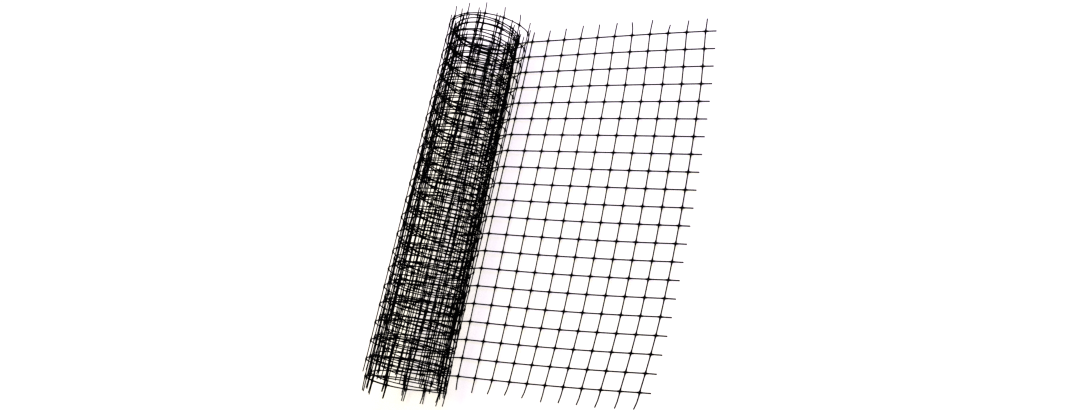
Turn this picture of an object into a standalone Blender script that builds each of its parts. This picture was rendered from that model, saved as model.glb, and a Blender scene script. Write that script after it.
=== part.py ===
"""A roll of square-mesh plastic deck netting with its loose end lying on the floor.

The roll's axis runs along Y and the loose end lies towards +X. The net goes from the
loose end under the roll, up its -X side, over the top and inwards for about five turns.
The origin is on the floor, at the middle of the part's box.
"""
import bisect
import math

import bmesh
import bpy
from mathutils import Vector

# The net, in metres: rows run along its length, columns run across its width
ROW_PITCH = 0.01905
COLUMN_PITCH = 0.0205
ROWS = 21
LOOSE_COLUMNS = 11
STRAND = 0.0014
ROLL_STUB = 0.0135
FREE_STUB = 0.0115
PIECE_GAP = 0.0003

# The outermost turn shows every second row and column, and the turns inside stay whole
WINDOW_STEP = 2
WINDOW_COLUMNS = 14

# The floor flattens the roll over this half angle
FLAT_HALF_ANGLE = math.radians(15)

# The bend of one facet between two columns, and the step that measures the spiral's length
BEND_STEP = math.radians(16)
WALK_STEP = math.radians(0.5)

# How the net winds: turns made so far, and at its far and near edge rows the radius and how
# far the turn has slid along the axis towards the near end
WINDING = (
    {"turns": -0.1, "far_radius": 0.0437, "near_radius": 0.0437, "far_slide": 0.0000, "near_slide": 0.0000},
    {"turns": 0.0, "far_radius": 0.0437, "near_radius": 0.0437, "far_slide": 0.0020, "near_slide": 0.0010},
    {"turns": 0.25, "far_radius": 0.0440, "near_radius": 0.0415, "far_slide": 0.0115, "near_slide": 0.0040},
    {"turns": 0.5, "far_radius": 0.0437, "near_radius": 0.0412, "far_slide": 0.0122, "near_slide": 0.0060},
    {"turns": 0.75, "far_radius": 0.0448, "near_radius": 0.0408, "far_slide": 0.0105, "near_slide": 0.0100},
    {"turns": 1.0, "far_radius": 0.0392, "near_radius": 0.0392, "far_slide": 0.0115, "near_slide": 0.0160},
    {"turns": 1.5, "far_radius": 0.0381, "near_radius": 0.0381, "far_slide": 0.0118, "near_slide": 0.0190},
    {"turns": 2.0, "far_radius": 0.0369, "near_radius": 0.0369, "far_slide": 0.0135, "near_slide": 0.0200},
    {"turns": 3.0, "far_radius": 0.0346, "near_radius": 0.0346, "far_slide": 0.0160, "near_slide": 0.0200},
    {"turns": 4.0, "far_radius": 0.0323, "near_radius": 0.0323, "far_slide": 0.0190, "near_slide": 0.0200},
    {"turns": 5.0, "far_radius": 0.0300, "near_radius": 0.0300, "far_slide": 0.0200, "near_slide": 0.0200},
)
WOUND_COLUMNS = 57

# The roll leans and sinks a little towards its near end, once the net has left the floor
NEAR_LEAN = 0.0030
NEAR_SINK = 0.0010
LEAN_TURNS = 0.15

# Cut stubs of the loose end's columns, from the roll to the free edge
LOOSE_STUBS = (
    {"far": 0.0119, "near": 0.0138},
    {"far": 0.0128, "near": 0.0149},
    {"far": 0.0138, "near": 0.0144},
    {"far": 0.0159, "near": 0.0137},
    {"far": 0.0159, "near": 0.0146},
    {"far": 0.0163, "near": 0.0165},
    {"far": 0.0157, "near": 0.0158},
    {"far": 0.0170, "near": 0.0160},
    {"far": 0.0098, "near": 0.0169},
    {"far": 0.0137, "near": 0.0163},
    {"far": 0.0147, "near": 0.0159},
)

# How the loose end lies: it springs up a little beside the roll and curls at its corners
SPRING = 0.0027
FAR_CURL = 0.0110
NEAR_CURL = 0.0240
NEAR_CURL_BEND = 0.3
FAR_CURL_FROM = 0.45
NEAR_CURL_FROM = 0.45

# Worked out from the sizes above
FLOOR_LEVEL = STRAND / 2
FLOOR_RADIUS = WINDING[0]["far_radius"]
AXIS_HEIGHT = FLOOR_LEVEL + FLOOR_RADIUS * math.cos(FLAT_HALF_ANGLE)
FLAT_HALF_WIDTH = FLOOR_RADIUS * math.sin(FLAT_HALF_ANGLE)
NET_WIDTH = (ROWS - 1) * ROW_PITCH
LOOSE_LENGTH = (LOOSE_COLUMNS - 1) * COLUMN_PITCH
SLIDE_END = WINDING[-1]["near_slide"]
FAR_STUB_MAX = max(stub["far"] for stub in LOOSE_STUBS)
WHOLE_Y = FAR_STUB_MAX + NET_WIDTH + SLIDE_END + ROLL_STUB
WHOLE_X = FLOOR_RADIUS + FLAT_HALF_WIDTH + COLUMN_PITCH + LOOSE_LENGTH + FREE_STUB
FAR_ROW_Y = WHOLE_Y / 2 - FAR_STUB_MAX
FREE_COLUMN_X = WHOLE_X / 2 - FREE_STUB
FIRST_COLUMN_X = FREE_COLUMN_X - LOOSE_LENGTH
AXIS_X = FIRST_COLUMN_X - COLUMN_PITCH + STRAND / 2 - FLAT_HALF_WIDTH

NET_COLOR = (0.012, 0.012, 0.013, 1.0)
NET_ROUGHNESS = 0.42


def clear_scene():
    for item in list(bpy.data.objects):
        bpy.data.objects.remove(item, do_unlink=True)


def net_material(name):
    material = bpy.data.materials.new(name)
    material.use_nodes = True
    shader = material.node_tree.nodes["Principled BSDF"]
    shader.inputs["Base Color"].default_value = NET_COLOR
    shader.inputs["Roughness"].default_value = NET_ROUGHNESS
    shader.inputs["Metallic"].default_value = 0.0
    material.diffuse_color = NET_COLOR
    return material


def winding_at(turns, quantity, across):
    """Read the radius or the slide at a number of turns, from the far edge row to the near one.

    Values are straight between the table's rows and straight across the net.
    """
    marks = [row["turns"] for row in WINDING]
    upper = min(max(bisect.bisect(marks, turns), 1), len(marks) - 1)
    before, after = WINDING[upper - 1], WINDING[upper]
    share = (turns - before["turns"]) / (after["turns"] - before["turns"])
    far, near = (before[side + quantity] + share * (after[side + quantity] - before[side + quantity])
                 for side in ("far_", "near_"))
    return far + (near - far) * across


def wound_point(angle, across):
    """Place the net's middle at an angle from the bottom of the roll, by way of -X.

    across is 0 at the far edge row and 1 at the near one.
    """
    turns = angle / (2 * math.pi)
    radius = winding_at(turns, "radius", across)
    lean = NEAR_LEAN * across * min(max(turns / LEAN_TURNS, 0.0), 1.0)
    x = AXIS_X - lean - radius * math.sin(angle)
    z = AXIS_HEIGHT - NEAR_SINK * across - radius * math.cos(angle)
    return x, max(z, FLOOR_LEVEL), winding_at(turns, "slide", across)


def wound_angles(lengths):
    """Find the angle at each length along the far edge, measured from the first wound column."""
    angle = -FLAT_HALF_ANGLE
    walked = 0.0
    x, z, _ = wound_point(angle, 0.0)
    angles = []
    for length in lengths:
        while walked < length:
            angle += WALK_STEP
            next_x, next_z, _ = wound_point(angle, 0.0)
            walked += math.hypot(next_x - x, next_z - z)
            x, z = next_x, next_z
        angles.append(angle)
    return angles


def loose_height(along, across):
    """Height of the loose end's middle: along is 0 at its first column and 1 at its last."""
    t = max(along, 0.0)
    spring = SPRING * (1 - t * t) * math.sin(math.pi * across) ** 2
    far = max(0.0, 1 - across / FAR_CURL_FROM) ** 2
    near = max(0.0, (across - NEAR_CURL_FROM) / (1 - NEAR_CURL_FROM)) ** 2
    lift = spring + FAR_CURL * far * math.sin(math.pi * min(t, 1.0) / 2)
    lift += NEAR_CURL * near * t * (1 - NEAR_CURL_BEND * (1 - t))
    if along < 0:
        lift *= max(0.0, 1 + along * LOOSE_LENGTH / COLUMN_PITCH)
    return FLOOR_LEVEL + max(lift, 0.0)


def net_lines(row_step):
    """The lines that bound the row strands across the width, with the stub tips outside them.

    Each is its place from the far edge row and the share of a stub that lies beyond it.
    """
    lines = [(0.0, -1)]
    for row in range(0, ROWS, row_step):
        lines += [(row * ROW_PITCH - STRAND / 2, 0), (row * ROW_PITCH + STRAND / 2, 0)]
    return lines + [(NET_WIDTH, 1)]


def net_object(name, lines, stations, strips, place):
    """Model a net as a sheet of quads with its gaps left out, and give it its thickness.

    strips has one entry for each pair of stations: whether the web between the rows is
    whole there, whether stubs stand out at both edges, and whether it is plain, with no
    gap on either side.
    """
    mesh = bpy.data.meshes.new(name)
    sheet = bmesh.new()
    grid = [[sheet.verts.new(place(station, line, tip)) for line, tip in lines] for station in stations]
    plain_faces = set()
    for index, strip in enumerate(strips):
        for cell in range(len(lines) - 1):
            is_stub = cell in (0, len(lines) - 2)
            is_row = cell % 2 == 1
            wanted = strip["stubs"] if is_stub else (is_row or strip["web"])
            if not wanted:
                continue
            corners = (grid[index][cell], grid[index + 1][cell],
                       grid[index + 1][cell + 1], grid[index][cell + 1])
            face = sheet.faces.new(corners)
            if strip["plain"] and not is_stub:
                plain_faces.add(face)
    inner_edges = [edge for edge in sheet.edges
                   if len(edge.link_faces) == 2 and edge.link_faces[0] in plain_faces
                   and edge.link_faces[1] in plain_faces and runs_along(edge)]
    bmesh.ops.dissolve_edges(sheet, edges=inner_edges, use_verts=True)
    loose_points = [vertex for vertex in sheet.verts if not vertex.link_faces]
    bmesh.ops.delete(sheet, geom=loose_points, context="VERTS")
    bmesh.ops.recalc_face_normals(sheet, faces=sheet.faces)
    sheet.to_mesh(mesh)
    sheet.free()
    mesh.materials.append(net_material(name + "_plastic"))
    item = bpy.data.objects.new(name, mesh)
    bpy.context.scene.collection.objects.link(item)
    wall = item.modifiers.new("strand thickness", "SOLIDIFY")
    wall.thickness = STRAND
    wall.offset = 0.0
    wall.use_even_offset = True
    return item


def runs_along(edge):
    """An edge that runs along the net, and not across it, joins two cells of one strip."""
    span = edge.verts[1].co - edge.verts[0].co
    return abs(span.y) < 0.5 * span.length


def make_wound_roll():
    """The wound part: a sheet in a spiral, its outermost turn cut into windows."""
    edges = []
    for column in range(WOUND_COLUMNS):
        middle = column * COLUMN_PITCH
        edges += [middle - STRAND / 2, middle + STRAND / 2]
    angles = wound_angles([edge - edges[0] for edge in edges])
    stations, strips = [angles[0]], []
    for index in range(1, len(angles)):
        column = index // 2
        on_column = index % 2 == 1
        windowed = column < WINDOW_COLUMNS
        if on_column:
            whole = not windowed or column % WINDOW_STEP == 0
            parts = 1
        else:
            whole = column > WINDOW_COLUMNS
            parts = max(1, round((angles[index] - angles[index - 1]) / BEND_STEP))
        for part in range(1, parts + 1):
            stations.append(angles[index - 1] + (angles[index] - angles[index - 1]) * part / parts)
            strips.append({"web": whole, "stubs": on_column, "plain": column > WINDOW_COLUMNS})

    def place(angle, line, tip):
        x, z, slide = wound_point(angle, line / NET_WIDTH)
        return Vector((x, FAR_ROW_Y - line - slide - tip * ROLL_STUB, z))

    return net_object("wound_roll", net_lines(WINDOW_STEP), stations, strips, place)


def make_loose_end():
    """The loose end: every gap between its 21 rows and 11 columns is cut through."""
    start = -COLUMN_PITCH + STRAND / 2 + PIECE_GAP
    row_strands = {"web": False, "stubs": False, "plain": False}
    column_strand = {"web": True, "stubs": True, "plain": False}
    stations, strips = [(start, 0)], []
    for column in range(LOOSE_COLUMNS):
        middle = column * COLUMN_PITCH
        stations += [(middle - STRAND / 2, column), (middle + STRAND / 2, column)]
        strips += [row_strands, column_strand]
    stations.append((LOOSE_LENGTH + FREE_STUB, LOOSE_COLUMNS - 1))
    strips.append(row_strands)

    def place(station, line, tip):
        along, column = station
        stub = LOOSE_STUBS[column]["far"] if tip < 0 else LOOSE_STUBS[column]["near"]
        across = line / NET_WIDTH
        height = loose_height(along / LOOSE_LENGTH, min(max(across, 0.0), 1.0))
        return Vector((FIRST_COLUMN_X + along, FAR_ROW_Y - line - tip * stub, height))

    return net_object("loose_end", net_lines(1), stations, strips, place)


clear_scene()
make_wound_roll()
make_loose_end()
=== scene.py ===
"""Looks for a roll of square-mesh plastic deck netting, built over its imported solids.

The net is one length of black plastic mesh. Its wound part goes round about five times, and
its loose end lies on the floor beside it. Every strand is a closed tube that thickens where
it crosses another, and its cut end stands out beyond the last crossing as a short stub.
"""
import bisect
import math

import bmesh
import bpy
from mathutils import Matrix, Vector, noise


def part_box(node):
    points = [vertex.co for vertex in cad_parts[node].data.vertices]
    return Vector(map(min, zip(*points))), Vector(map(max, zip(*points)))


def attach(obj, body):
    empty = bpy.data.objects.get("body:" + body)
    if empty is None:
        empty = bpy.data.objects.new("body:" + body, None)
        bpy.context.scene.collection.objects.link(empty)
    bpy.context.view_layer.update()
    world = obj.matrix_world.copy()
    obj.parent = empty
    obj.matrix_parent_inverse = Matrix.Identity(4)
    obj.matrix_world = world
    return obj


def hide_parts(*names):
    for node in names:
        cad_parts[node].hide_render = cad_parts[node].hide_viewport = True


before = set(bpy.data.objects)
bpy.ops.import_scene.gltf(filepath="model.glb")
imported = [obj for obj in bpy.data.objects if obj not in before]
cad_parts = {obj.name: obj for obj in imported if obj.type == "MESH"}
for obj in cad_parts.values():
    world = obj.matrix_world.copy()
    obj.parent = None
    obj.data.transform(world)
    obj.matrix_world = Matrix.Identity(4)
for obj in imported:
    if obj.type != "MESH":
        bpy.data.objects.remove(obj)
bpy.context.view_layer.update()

bl_info = {
    "name": "Deck netting roll",
    "version": (1, 0, 0),
    "blender": (4, 5, 0),
    "location": "3D View > Sidebar > Netting",
    "description": "Builds a roll of square-mesh deck netting with its loose end",
    "category": "Object",
}

BODY = "root"
MM = 0.001

# The net: rows run along its length and columns across its width
ROWS = 21
ROW_PITCH = 19.05 * MM
COLUMN_PITCH = 20.5 * MM
WOUND_COLUMNS = 59
LOOSE_COLUMNS = 11
NET_WIDTH = (ROWS - 1) * ROW_PITCH
INNER_STUB = 9 * MM
FREE_STUB = 11.5 * MM
LONGEST_FAR_STUB = 17.0 * MM

# Where a strand's thickness changes: lengths from a crossing, and how fast the swelling fades
KNOT_EDGE = 1.3 * MM
FLARE_END = 3.6 * MM
SWELLING = 1.6 * MM

# A strand that runs at most this much along Y takes its section's side from Y, any other from Z
MOST_ALONG_Y = 0.7

# A length that tells which part of the net a point beside its first crossing belongs to
BESIDE_START = 1e-6

# How the net winds, in millimetres: turns made, then at the far and near edges its radius, how
# far it has slid towards the near end, how far its middle sits towards -X and how far it has
# crept round, then how far its rows bow towards the near end halfway between the edges, and last
# how much further its columns have crept where they gather near the near edge
WINDING = tuple(
    dict(zip(("turns", "far_radius", "near_radius", "far_slide", "near_slide", "far_shift",
              "near_shift", "far_creep", "near_creep", "bow", "gather"), row))
    for row in (
        (-0.10, 43.7, 43.7, 0.0, 0.0, 0.0, 0.0, 0, 0, 0.0, 0),
        (0.00, 43.7, 43.7, 2.0, 1.0, 0.0, 0.0, 0, 0, 0.0, 0),
        (0.25, 44.6, 42.5, 11.5, 4.0, 0.0, 0.0, 0, 0, 0.0, 0),
        (0.50, 43.9, 41.4, 12.2, 6.0, 0.0, 0.0, 1, 0, 0.5, 0),
        (0.75, 44.9, 41.7, 10.5, 10.0, 0.0, 0.0, 0, 0, 0.0, 0),
        (1.00, 40.4, 40.4, 10.5, 17.5, 3.0, 0.0, -6, 2, -8.0, 0),
        (1.25, 37.4, 40.0, 10.0, 22.0, 5.8, -1.0, -9, 2, -6.0, 0),
        (1.50, 37.3, 40.2, 9.8, 24.0, 5.8, -1.0, -11, 2, -4.0, 0),
        (1.75, 37.2, 41.0, 10.5, 22.0, 5.6, -0.6, -11, -2, -3.0, -2),
        (2.00, 38.4, 40.0, 11.5, 18.5, 5.0, -1.0, -10, 1, -2.0, -6),
        (2.25, 36.0, 38.6, 12.0, 22.0, 3.6, -1.3, -13, -2, -1.0, -6),
        (2.50, 35.9, 38.8, 12.6, 23.0, 4.4, -1.3, -4, -12, 3.0, -2),
        (2.75, 35.9, 39.6, 14.5, 20.0, 4.2, -1.0, -7, -12, 0.0, 0),
        (3.00, 37.0, 38.6, 16.0, 17.0, 3.8, -1.4, -9, -3, -4.0, 0),
        (3.25, 34.7, 35.2, 17.0, 17.0, 3.9, -1.8, -14, -2, 0.0, 0),
        (3.50, 34.6, 36.2, 18.2, 18.0, 3.0, -1.8, -9, -6, 5.0, 0),
        (3.75, 34.6, 38.0, 18.0, 14.0, 2.8, -1.6, -8, -5, 6.0, 0),
        (4.00, 35.6, 37.0, 17.8, 9.0, 3.4, -1.8, -5, -3, 8.0, 0),
        (4.25, 33.6, 32.0, 17.5, 6.0, 4.3, -2.0, -5, -6, 3.0, 0),
        (4.50, 33.4, 33.4, 17.1, 3.5, 3.0, -2.0, -8, -12, -3.0, 0),
        (5.00, 33.0, 34.8, 18.0, 3.0, 2.5, -2.0, -11, -14, -3.0, 0),
    )
)

# The share of the width from the far edge at which columns start to gather
GATHER_FROM = 0.84

# The roll rests on a flat strip, and the length of net round it is summed in small steps
FLAT_HALF_ANGLE = math.radians(14.04)
WALK_STEP = math.radians(1)
FLOOR_RADIUS = WINDING[0]["far_radius"] * MM

# The roll's axis at its near end, against its far end
NEAR_LEAN = 3.0 * MM
NEAR_SINK = 1.7 * MM
LEAN_TURNS = 0.15

# The turns inside hang a little below the outermost one's axis
INNER_SINK = 1.2 * MM
INNER_TURNS = (0.6, 1.2)

# How the net wavers: its rows along the axis, its columns round it and both in and out, more
# in the turns inside
WAVE = 2.2 * MM
SWAY = 2.6 * MM
SWELL = 0.8 * MM
WAVE_LENGTH = 60 * MM
OUTER_SHARE = 0.25

# The noise is read between its even points, where it would be 0, and far apart for each value
DRIFT_LEVEL = 0.5
DRIFT_APART = 31

# How the loose end lies: it springs up beside the roll and curls at its two free corners
SPRING = 2.7 * MM
FAR_CURL = 11 * MM
NEAR_CURL = 24 * MM
NEAR_CURL_BEND = 0.3
CURL_FROM = 0.45
ROLLING = 1.8 * MM
LOOSE_BOW = 0.9 * MM
LOOSE_BOW_LEVEL = 0.45

# How far its edges are pulled towards the roll, each over a share of its width: the far one
# beside the roll and by how much more at the free edge, and the near one at the free edge
FAR_PULL = (0.8 * MM, 1.5 * MM)
FAR_PULL_SHARE = 0.15
NEAR_PULL = 2.4 * MM
NEAR_PULL_SHARE = 0.2
NEAR_PULL_BEND = 1.5

# Cut stubs of the loose end's columns in millimetres, from the roll to the free edge, and
# how far each tip leans along the net
LOOSE_STUBS = tuple(
    dict(zip(("far", "far_lean", "near", "near_lean"), row))
    for row in (
        (11.9, 0.3, 13.8, 1.1),
        (12.8, 0.2, 14.9, -0.2),
        (13.8, -0.2, 14.4, -1.9),
        (15.9, 0.3, 13.7, -2.4),
        (15.9, -0.4, 14.6, -2.6),
        (16.3, 0.2, 16.5, -1.2),
        (15.7, -2.6, 15.8, -2.0),
        (17.0, 0.4, 16.0, -2.4),
        (9.8, 0.9, 16.9, -2.8),
        (13.7, 0.2, 16.3, -2.4),
        (14.7, -0.3, 15.9, -3.0),
    )
)

# Cut stubs of the roll's columns, far and near: of the turns that show, and of those behind
# them after a number of turns. Their lengths spread, and a ring on each shapes its bend
WOUND_STUBS = ((12.5 * MM, 8.5 * MM, 1.0), (13.5 * MM, 9.0 * MM, 2.6))
HIDING_TURNS = 0.2
STUB_SPREAD = 1.8 * MM
STUB_RING = 0.6
INNER_STUB_SPREAD = 0.3

# Steps through the noise from one stub to the next
COLUMN_STEP = 1.37
END_STEP = 7.1
ROW_STEP = 1.7
ROW_LEVEL = 3

LOOSE_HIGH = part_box("loose_end")[1]
BAR_X = LOOSE_HIGH.x - FREE_STUB - LOOSE_COLUMNS * COLUMN_PITCH
FAR_ROW_Y = LOOSE_HIGH.y - LONGEST_FAR_STUB
AXIS_X = BAR_X - FLOOR_RADIUS * math.sin(FLAT_HALF_ANGLE)

# The photographed view, with the camera's right, up and backward directions
CAMERA_PLACE = Vector((0.49651, -0.37225, 0.98700))
CAMERA_RIGHT = Vector((0.8976605, 0.1947538, -0.3953182))
CAMERA_UP = Vector((-0.0362258, 0.9266230, 0.3742425))
CAMERA_BACK = Vector((0.4391961, -0.3216220, 0.8388480))
LENS_MM = 37.784
SENSOR_MM = 36.0
NEAREST_SEEN = 10 * MM

# The floor's half width and roughness, and the two soft lights' sizes, places and aim
FLOOR_REACH = 4.0
FLOOR_ROUGHNESS = 0.9
KEY_SIZE, KEY_PLACE = 0.9, (-0.45, 0.0, 1.5)
FILL_SIZE, FILL_PLACE = 0.8, (0.3, 0.8, 0.85)
LIGHT_AIM = Vector((0.0, -0.05, 0.0))

# The plastic's dull patches and fine grain: noise scales per metre and how much each does
PATCH_SCALE, PATCH_DETAIL = 60.0, 3.0
GRAIN_SCALE, GRAIN_DETAIL = 1400.0, 2.0
PALE_TIMES = 3.0
DULL_SPREAD = 0.24
GRAIN_STRENGTH = 0.25
GRAIN_DEPTH = 0.1 * MM
GLOSS = 0.02


class Netting(bpy.types.PropertyGroup):
    """Sizes of the net's strands."""
    strand: bpy.props.FloatProperty(
        name="Strand", description="Thickness of a strand between two crossings",
        default=1.22 * MM, unit="LENGTH", precision=5)
    wound_share: bpy.props.FloatProperty(
        name="On the roll", description="Thickness of the roll's strands against the loose end's",
        default=0.85, subtype="FACTOR")
    knot: bpy.props.FloatProperty(
        name="Crossing", description="Thickness of a strand where it crosses another",
        default=2.6 * MM, unit="LENGTH", precision=5)
    sides: bpy.props.IntProperty(
        name="Sides", description="Sides of a strand's section", default=6, min=3, max=12)


class Finish(bpy.types.PropertyGroup):
    """The black plastic."""
    color: bpy.props.FloatVectorProperty(
        name="Plastic", description="Colour of the plastic", size=3, subtype="COLOR",
        default=(0.003, 0.003, 0.0035))
    roughness: bpy.props.FloatProperty(
        name="Roughness", description="How dull the plastic is", default=0.5, subtype="FACTOR")


class Studio(bpy.types.PropertyGroup):
    """Floor and light."""
    floor: bpy.props.FloatVectorProperty(
        name="Floor", description="Colour of the floor", size=3, subtype="COLOR",
        default=(0.13, 0.13, 0.13))
    glow_color: bpy.props.FloatVectorProperty(
        name="Glow", description="Colour of the light through the floor and from all round",
        size=3, subtype="COLOR", default=(1.0, 0.96, 0.9))
    glow: bpy.props.FloatProperty(
        name="Glow strength", description="Strength of the light that comes through the floor",
        default=0.486)
    sky: bpy.props.FloatProperty(
        name="Sky", default=0.559,
        description="Strength of the light from all round, which meets the far floor's own")
    key_color: bpy.props.FloatVectorProperty(
        name="Key", description="Colour of the soft light from the left", size=3,
        subtype="COLOR", default=(1.0, 0.98, 0.6))
    key_power: bpy.props.FloatProperty(
        name="Key power", description="Power of the soft light from the left", default=22.0,
        unit="POWER")
    fill_color: bpy.props.FloatVectorProperty(
        name="Fill", description="Colour of the soft light from behind", size=3,
        subtype="COLOR", default=(0.35, 0.25, 1.0))
    fill_power: bpy.props.FloatProperty(
        name="Fill power", description="Power of the soft light from behind", default=20.0,
        unit="POWER")


class Shade:
    """A shader socket that takes part in sums, so that shader maths is written as Python."""
    tree = None

    def __init__(self, socket):
        self.socket = socket

    @classmethod
    def node(cls, kind, settings=(), **inputs):
        """Make one node: its settings are set first, then its sockets by name or number."""
        made = cls.tree.nodes.new(kind)
        for name, value in dict(settings).items():
            setattr(made, name, value)
        for name, value in inputs.items():
            socket = made.inputs[int(name[1:]) if name[0] == "_" else name]
            if isinstance(value, Shade):
                cls.tree.links.new(value.socket, socket)
            else:
                socket.default_value = value
        return made

    def maths(self, operation, other):
        made = Shade.node("ShaderNodeMath", {"operation": operation}, _0=self, _1=other)
        return Shade(made.outputs[0])

    def __add__(self, other):
        return self.maths("ADD", other)

    __radd__ = __add__

    def __mul__(self, other):
        return self.maths("MULTIPLY", other)

    __rmul__ = __mul__

    def mix(self, low, high):
        """A colour between two, by this value."""
        made = Shade.node("ShaderNodeMix", {"data_type": "RGBA"}, _0=self, _6=low, _7=high)
        return Shade(made.outputs[2])


def new_material(name):
    """Make a node material, and return it with its shader."""
    material = bpy.data.materials.new(name)
    material.use_nodes = True
    Shade.tree = material.node_tree
    return material, material.node_tree.nodes["Principled BSDF"]


def speckle(scale, detail):
    """Noise over the object, with its scale per metre."""
    place = Shade.node("ShaderNodeTexCoord").outputs["Object"]
    made = Shade.node("ShaderNodeTexNoise", Vector=Shade(place), Scale=scale, Detail=detail)
    return Shade(made.outputs["Fac"])


def black_plastic(finish):
    """Drawn black plastic: a satin skin with dull patches and a fine uneven surface."""
    material, shader = new_material("black_drawn_plastic")
    color = tuple(finish.color) + (1.0,)
    paler = tuple(PALE_TIMES * value for value in finish.color) + (1.0,)
    patches = speckle(PATCH_SCALE, PATCH_DETAIL)
    grain = speckle(GRAIN_SCALE, GRAIN_DETAIL)
    links = material.node_tree.links
    links.new((patches * grain).mix(color, paler).socket, shader.inputs["Base Color"])
    dull = finish.roughness - DULL_SPREAD / 2 + DULL_SPREAD * patches
    links.new(dull.socket, shader.inputs["Roughness"])
    bump = Shade.node("ShaderNodeBump", Height=grain, Strength=GRAIN_STRENGTH,
                      Distance=GRAIN_DEPTH)
    links.new(bump.outputs["Normal"], shader.inputs["Normal"])
    shader.inputs["Specular IOR Level"].default_value = GLOSS
    return material


def smooth(value):
    """Ease from 0 to 1."""
    held = min(max(value, 0.0), 1.0)
    return held * held * (3 - 2 * held)


def winding_row(turns):
    """The winding at a number of turns, between two rows of its table."""
    marks = [row["turns"] for row in WINDING]
    upper = min(max(bisect.bisect(marks, turns), 1), len(marks) - 1)
    before, after = WINDING[upper - 1], WINDING[upper]
    share = (turns - before["turns"]) / (after["turns"] - before["turns"])
    return {name: (before[name] + share * (after[name] - before[name])) * MM for name in before}


def drift(spot):
    """Three values that drift with a place, each between about -0.5 and 0.5."""
    return Vector([noise.noise(spot + Vector((0, 0, way * DRIFT_APART))) for way in range(3)])


def inside(turns):
    """How far the net is in from the outermost turn, from 0 to 1."""
    return smooth((turns - INNER_TURNS[0]) / (INNER_TURNS[1] - INNER_TURNS[0]))


def wound_place(angle, across):
    """Place the net at an angle from the roll's bottom, by way of -X, without its waves."""
    turns = angle / math.tau
    row = winding_row(turns)
    radius, slide, shift = (row["far_" + name] + (row["near_" + name] - row["far_" + name]) * across
                            for name in ("radius", "slide", "shift"))
    lean = NEAR_LEAN * across * smooth(turns / LEAN_TURNS)
    sink = NEAR_SINK * across + INNER_SINK * (1 - across) * inside(turns)
    height = FLOOR_RADIUS * math.cos(FLAT_HALF_ANGLE) - sink - radius * math.cos(angle)
    x = AXIS_X - lean - shift - radius * math.sin(angle)
    y = FAR_ROW_Y - slide - across * NET_WIDTH - row["bow"] * math.sin(math.pi * across)
    return Vector((x, y, max(height, 0.0)))


def walk():
    """Lengths along the far edge row from the first wound column, and the angle at each."""
    angles, lengths = [-FLAT_HALF_ANGLE], [0.0]
    place = wound_place(angles[0], 0.0)
    while lengths[-1] < (WOUND_COLUMNS + 1) * COLUMN_PITCH:
        angles.append(angles[-1] + WALK_STEP)
        ahead = wound_place(angles[-1], 0.0)
        lengths.append(lengths[-1] + math.hypot(ahead.x - place.x, ahead.z - place.z))
        place = ahead
    return lengths, angles


WALKED = walk()


def angle_at(length):
    """The roll's angle at a length of net."""
    lengths, angles = WALKED
    upper = min(max(bisect.bisect(lengths, length), 1), len(lengths) - 1)
    share = (length - lengths[upper - 1]) / (lengths[upper] - lengths[upper - 1])
    return angles[upper - 1] + share * (angles[upper] - angles[upper - 1])


def wound_point(length, across, lift):
    """A point of the wound part: length from its first column, across from the far edge row."""
    turns = angle_at(length) / math.tau
    row = winding_row(turns)
    creep = row["far_creep"] + (row["near_creep"] - row["far_creep"]) * across
    creep += row["gather"] * smooth((across - GATHER_FROM) / (1 - GATHER_FROM))
    free = OUTER_SHARE + (1 - OUTER_SHARE) * inside(turns)
    free *= smooth(length / COLUMN_PITCH)
    waver = drift(Vector((length / WAVE_LENGTH, across * NET_WIDTH / WAVE_LENGTH, DRIFT_LEVEL)))
    place = wound_place(angle_at(length + creep + free * SWAY * waver.x), across)
    place.y += free * WAVE * waver.y
    outwards = inside(turns) * SWELL * waver.z
    place.x -= outwards * math.sin(turns * math.tau)
    place.z = max(place.z - outwards * math.cos(turns * math.tau), 0.0) + lift
    return place


def loose_point(length, across, lift):
    """A point of the loose end: length from the roll's first column towards the free edge."""
    along = (length - COLUMN_PITCH) / ((LOOSE_COLUMNS - 1) * COLUMN_PITCH)
    t = min(max(along, 0.0), 1.0)
    far = max(0.0, 1 - across / CURL_FROM) ** 2
    near = max(0.0, (across - CURL_FROM) / (1 - CURL_FROM)) ** 2
    height = SPRING * (1 - t * t) * math.sin(math.pi * across) ** 2
    height += FAR_CURL * far * math.sin(math.pi * t / 2)
    height += NEAR_CURL * near * along * (1 - NEAR_CURL_BEND * (1 - along))
    height += ROLLING * math.sin(math.tau * across) * math.sin(math.pi * t)
    settle = smooth(length / COLUMN_PITCH)
    start = wound_place(-FLAT_HALF_ANGLE, across)
    x = BAR_X + length
    x -= settle * (FAR_PULL[0] + FAR_PULL[1] * t) * max(0.0, 1 - across / FAR_PULL_SHARE)
    edge = max(0.0, 1 - (1 - across) / NEAR_PULL_SHARE)
    x -= settle * NEAR_PULL * t * edge ** NEAR_PULL_BEND
    y = FAR_ROW_Y - across * NET_WIDTH + settle * LOOSE_BOW * ((2 * t - 1) ** 2 - LOOSE_BOW_LEVEL)
    y += (start.y - FAR_ROW_Y + across * NET_WIDTH) * (1 - settle)
    return Vector((x, y, max(height, 0.0) * settle + lift))


def net_point(length, across, lift):
    """A point of the net: length is over 0 on the roll and under 0 on the loose end."""
    if length < 0:
        return loose_point(-length, across, lift)
    return wound_point(length, across, lift)


def stations(first, last, pitch, has_middle):
    """Lengths along a strand between two crossings, each with its distance from the nearest."""
    found = []
    for index in range(first, last + 1):
        at = index * pitch
        if index > first:
            found += [(at - FLARE_END, FLARE_END), (at - KNOT_EDGE, KNOT_EDGE)]
        found.append((at, 0.0))
        if index < last:
            found += [(at + KNOT_EDGE, KNOT_EDGE), (at + FLARE_END, FLARE_END)]
            if has_middle:
                found.append((at + pitch / 2, pitch / 2))
    return found


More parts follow.
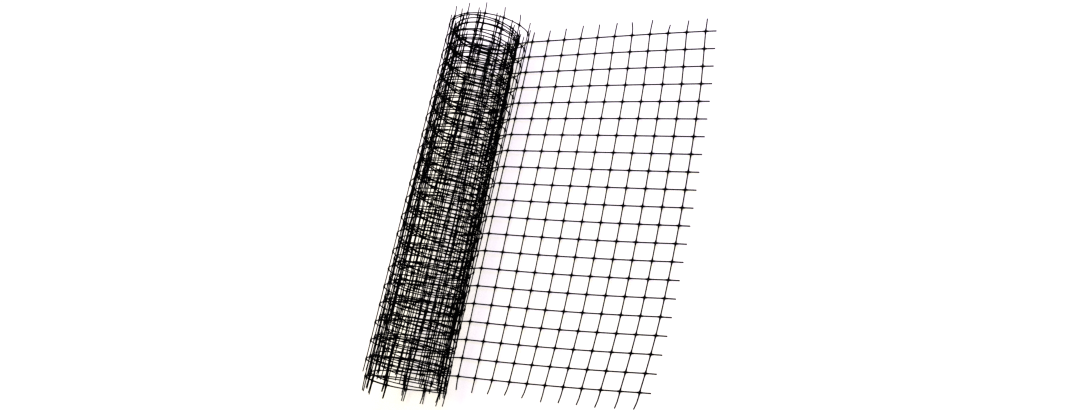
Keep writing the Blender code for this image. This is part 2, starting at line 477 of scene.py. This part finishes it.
def thickness(netting, length, distance):
    """Half the thickness of a strand at a length of net and a distance from a crossing."""
    swell = math.exp(-(distance / SWELLING) ** 2)
    share = 1 + (netting.wound_share - 1) * smooth(length / COLUMN_PITCH)
    return 0.5 * share * (netting.strand + (netting.knot - netting.strand) * swell)


def add_strand(net, points, radii, sides):
    """Add one closed strand to the net: a cylinder whose rings are set along the points."""
    strand = bmesh.new()
    bmesh.ops.create_cone(strand, cap_ends=True, segments=sides, radius1=1.0, radius2=1.0,
                          depth=1.0)
    long_edges = [edge for edge in strand.edges
                  if abs(edge.verts[0].co.z - edge.verts[1].co.z) > 0.5]
    last = len(points) - 1
    bmesh.ops.subdivide_edges(strand, edges=long_edges, cuts=last - 1)
    frames = []
    for index in range(last + 1):
        ahead = (points[min(index + 1, last)] - points[max(index - 1, 0)]).normalized()
        level = Vector((0, 1, 0)) if abs(ahead.y) < MOST_ALONG_Y else Vector((0, 0, 1))
        side = (level - level.dot(ahead) * ahead).normalized()
        frames.append((side, ahead.cross(side)))
    for vertex in strand.verts:
        ring = round((vertex.co.z + 0.5) * last)
        side, up = frames[ring]
        vertex.co = points[ring] + radii[ring] * (vertex.co.x * side + vertex.co.y * up)
    for face in strand.faces:
        face.smooth = True
    part = bpy.data.meshes.new("strand")
    strand.to_mesh(part)
    strand.free()
    net.from_mesh(part)
    bpy.data.meshes.remove(part)


def add_column(net, netting, length, far_stub, near_stub):
    """One strand across the net, from its far stub's tip to its near one's.

    A stub is how far it stands out, how far its tip leans along the net, and how far up.
    """
    lift = netting.knot / 2
    marks = stations(0, ROWS - 1, ROW_PITCH, False)
    points = [net_point(length, at / NET_WIDTH, lift) for at, _ in marks]
    radii = [thickness(netting, length, distance) for _, distance in marks]
    for at_start, (reach, lean, rise) in ((True, far_stub), (False, near_stub)):
        tip, tip_radii = [], []
        end = points[0] if at_start else points[-1]
        out = Vector((0, 1 if at_start else -1, 0))
        for distance in (KNOT_EDGE, FLARE_END, STUB_RING * reach, reach):
            share = distance / reach
            tip.append(end + out * distance + Vector((lean, 0, rise)) * share * share)
            tip_radii.append(thickness(netting, length, distance))
        if at_start:
            points, radii = tip[::-1] + points, tip_radii[::-1] + radii
        else:
            points, radii = points + tip, radii + tip_radii
    add_strand(net, points, radii, netting.sides)


def add_row(net, netting, across, first, last, stub):
    """One strand along the net between two columns, with a stub beyond the last of them."""
    lift = netting.knot / 2
    marks = [(abs(at), distance) for at, distance in stations(first, last, COLUMN_PITCH, True)]
    end = abs(last) * COLUMN_PITCH if last else abs(first) * COLUMN_PITCH
    marks.sort()
    marks += [(end + distance, distance) for distance in (KNOT_EDGE, FLARE_END, stub)]
    way = -1 if first < 0 else 1
    points = [net_point(way * (at or BESIDE_START), across, lift) for at, _ in marks]
    radii = [thickness(netting, way * at, distance) for at, distance in marks]
    add_strand(net, points, radii, netting.sides)


def net_piece(name, node, net, material):
    """Turn the strands into a finished piece that stands for its solid."""
    mesh = bpy.data.meshes.new(name)
    net.to_mesh(mesh)
    net.free()
    mesh.materials.append(material)
    piece = bpy.data.objects.new(name, mesh)
    bpy.context.scene.collection.objects.link(piece)
    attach(piece, BODY)
    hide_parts(node)
    return piece


def plastic():
    """The net's material, made once."""
    found = bpy.data.materials.get("black_drawn_plastic")
    return found or black_plastic(bpy.context.scene.net_finish)


class NETTING_OT_wound_part(bpy.types.Operator):
    """Build the wound part: about five turns of net with their cut stubs"""
    bl_idname = "netting.wound_part"
    bl_label = "Wound part"

    def execute(self, context):
        netting = context.scene.netting
        net = bmesh.new()
        for row in range(ROWS):
            spread = noise.noise(Vector((row * ROW_STEP, 0, ROW_LEVEL)))
            stub = INNER_STUB * (1 + INNER_STUB_SPREAD * spread)
            add_row(net, netting, row / (ROWS - 1), 0, WOUND_COLUMNS - 1, stub)
        for column in range(WOUND_COLUMNS):
            length = column * COLUMN_PITCH
            stubs = []
            turns = angle_at(length) / math.tau
            for end, (shown, hidden, last_shown) in enumerate(WOUND_STUBS, 1):
                turned = drift(Vector((column * COLUMN_STEP, end * END_STEP, DRIFT_LEVEL)))
                reach = shown + (hidden - shown) * smooth((turns - last_shown) / HIDING_TURNS)
                reach += STUB_SPREAD * turned.x
                stubs.append((reach, STUB_SPREAD * turned.y, STUB_SPREAD * max(turned.z, 0.0)))
            add_column(net, netting, length, *stubs)
        net_piece("wound_net", "wound_roll", net, plastic())
        return {"FINISHED"}


class NETTING_OT_loose_end(bpy.types.Operator):
    """Build the loose end, which lies on the floor and curls at its corners"""
    bl_idname = "netting.loose_end"
    bl_label = "Loose end"

    def execute(self, context):
        netting = context.scene.netting
        net = bmesh.new()
        for row in range(ROWS):
            add_row(net, netting, row / (ROWS - 1), -LOOSE_COLUMNS, 0, FREE_STUB)
        for column, stub in enumerate(LOOSE_STUBS):
            add_column(net, netting, -(column + 1) * COLUMN_PITCH,
                       (stub["far"] * MM, stub["far_lean"] * MM, 0.0),
                       (stub["near"] * MM, stub["near_lean"] * MM, 0.0))
        piece = net_piece("loose_net", "loose_end", net, plastic())
        return {"FINISHED"}


def soft_light(name, color, power, size, place):
    """Hang a round soft light and aim it at the net, with no glint of its tint on the strands."""
    light = bpy.data.lights.new(name, "AREA")
    light.shape = "DISK"
    light.size = size
    light.energy = power
    light.color = color
    lamp = bpy.data.objects.new(name, light)
    lamp.location = place
    lamp.visible_glossy = False
    aim = LIGHT_AIM - lamp.location
    lamp.rotation_euler = aim.to_track_quat("-Z", "Y").to_euler()
    bpy.context.scene.collection.objects.link(lamp)


class NETTING_OT_studio(bpy.types.Operator):
    """Build the pale floor, the soft light and the camera"""
    bl_idname = "netting.studio"
    bl_label = "Floor, light and camera"

    def execute(self, context):
        scene = context.scene
        studio = scene.net_studio
        ground = bmesh.new()
        bmesh.ops.create_grid(ground, x_segments=1, y_segments=1, size=FLOOR_REACH)
        mesh = bpy.data.meshes.new("floor")
        ground.to_mesh(mesh)
        ground.free()
        material, shader = new_material("pale_floor")
        shader.inputs["Base Color"].default_value = tuple(studio.floor) + (1.0,)
        shader.inputs["Roughness"].default_value = FLOOR_ROUGHNESS
        shader.inputs["Emission Color"].default_value = tuple(studio.glow_color) + (1.0,)
        shader.inputs["Emission Strength"].default_value = studio.glow
        shader.inputs["Specular IOR Level"].default_value = 0.0
        mesh.materials.append(material)
        floor = bpy.data.objects.new("floor", mesh)
        scene.collection.objects.link(floor)

        world = bpy.data.worlds.new("studio")
        world.use_nodes = True
        background = world.node_tree.nodes["Background"]
        background.inputs["Color"].default_value = tuple(studio.glow_color) + (1.0,)
        background.inputs["Strength"].default_value = studio.sky
        scene.world = world
        soft_light("key", studio.key_color, studio.key_power, KEY_SIZE, KEY_PLACE)
        soft_light("fill", studio.fill_color, studio.fill_power, FILL_SIZE, FILL_PLACE)

        lens = bpy.data.cameras.new("camera")
        lens.lens = LENS_MM
        lens.sensor_width = SENSOR_MM
        lens.clip_start = NEAREST_SEEN
        camera = bpy.data.objects.new("camera", lens)
        turn = Matrix((CAMERA_RIGHT, CAMERA_UP, CAMERA_BACK)).transposed()
        camera.matrix_world = Matrix.Translation(CAMERA_PLACE) @ turn.to_4x4()
        scene.collection.objects.link(camera)
        bpy.context.scene.camera = camera
        scene.view_settings.view_transform = "Standard"
        scene.view_settings.look = "Very High Contrast"
        return {"FINISHED"}


class NETTING_PT_panel(bpy.types.Panel):
    """Lists the steps that build the roll"""
    bl_label = "Deck netting roll"
    bl_idname = "NETTING_PT_panel"
    bl_space_type = "VIEW_3D"
    bl_region_type = "UI"
    bl_category = "Netting"

    def draw(self, context):
        for step in STEPS:
            self.layout.operator(step.bl_idname)
        for name in ("strand", "knot", "wound_share", "sides"):
            self.layout.prop(context.scene.netting, name)
        for name in ("color", "roughness"):
            self.layout.prop(context.scene.net_finish, name)
        for name in ("floor", "glow_color", "glow", "sky", "key_color", "key_power", "fill_color",
                     "fill_power"):
            self.layout.prop(context.scene.net_studio, name)


STEPS = (NETTING_OT_studio, NETTING_OT_wound_part, NETTING_OT_loose_end)
CLASSES = (Netting, Finish, Studio, *STEPS, NETTING_PT_panel)


def register():
    for item in CLASSES:
        bpy.utils.register_class(item)
    bpy.types.Scene.netting = bpy.props.PointerProperty(type=Netting)
    bpy.types.Scene.net_finish = bpy.props.PointerProperty(type=Finish)
    bpy.types.Scene.net_studio = bpy.props.PointerProperty(type=Studio)


def unregister():
    del bpy.types.Scene.netting
    del bpy.types.Scene.net_finish
    del bpy.types.Scene.net_studio
    for item in reversed(CLASSES):
        bpy.utils.unregister_class(item)


def main():
    register()
    bpy.ops.netting.studio()
    bpy.ops.netting.wound_part()
    bpy.ops.netting.loose_end()


if __name__ == "__main__":
    main()
